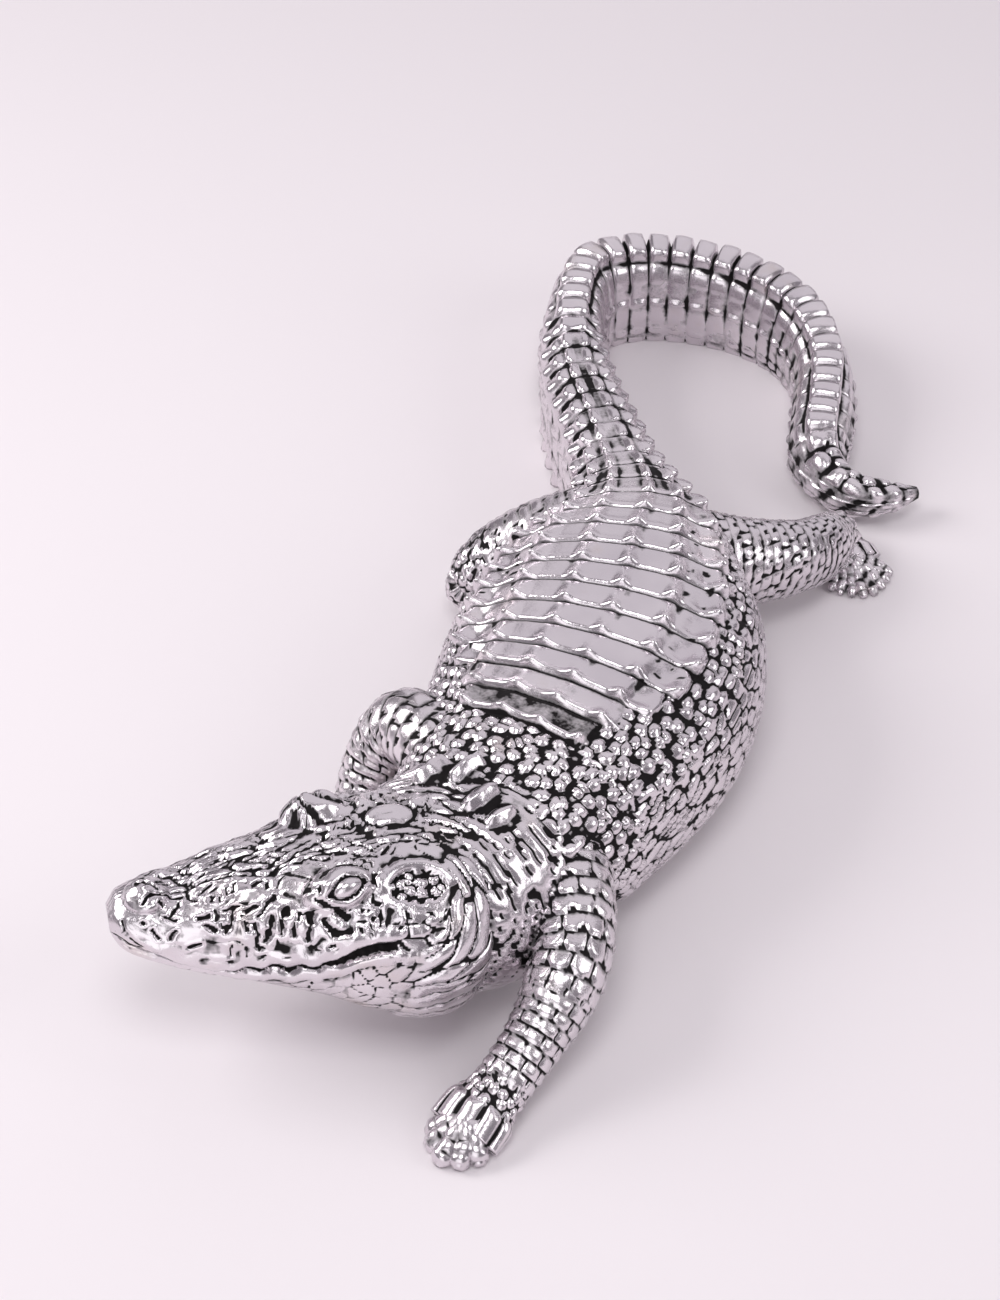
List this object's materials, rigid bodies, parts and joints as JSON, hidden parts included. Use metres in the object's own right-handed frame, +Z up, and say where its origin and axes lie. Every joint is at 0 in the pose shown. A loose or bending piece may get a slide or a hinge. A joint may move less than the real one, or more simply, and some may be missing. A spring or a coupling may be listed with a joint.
{
  "type": "crocodile sculpture",
  "caption": "Crawling crocodile figure with raised, turned head, keeled armour rows and a crested tail curled round to its hind foot.",
  "frame": {"origin": "middle of the belly, on the plane that the figure rests on", "axes": "+Z up. The trunk runs along Y, with the head towards -Y and the tail towards +Y, and the animal's left side is +X"},
  "size_m": [0.1758, 0.3999, 0.0644],
  "materials": {
    "antique_silver": "polished antique silver plating with near-black patina left in the carved recesses"
  },
  "bodies": {
    "root": {"crocodile": "antique_silver"}
  },
  "joints": []
}
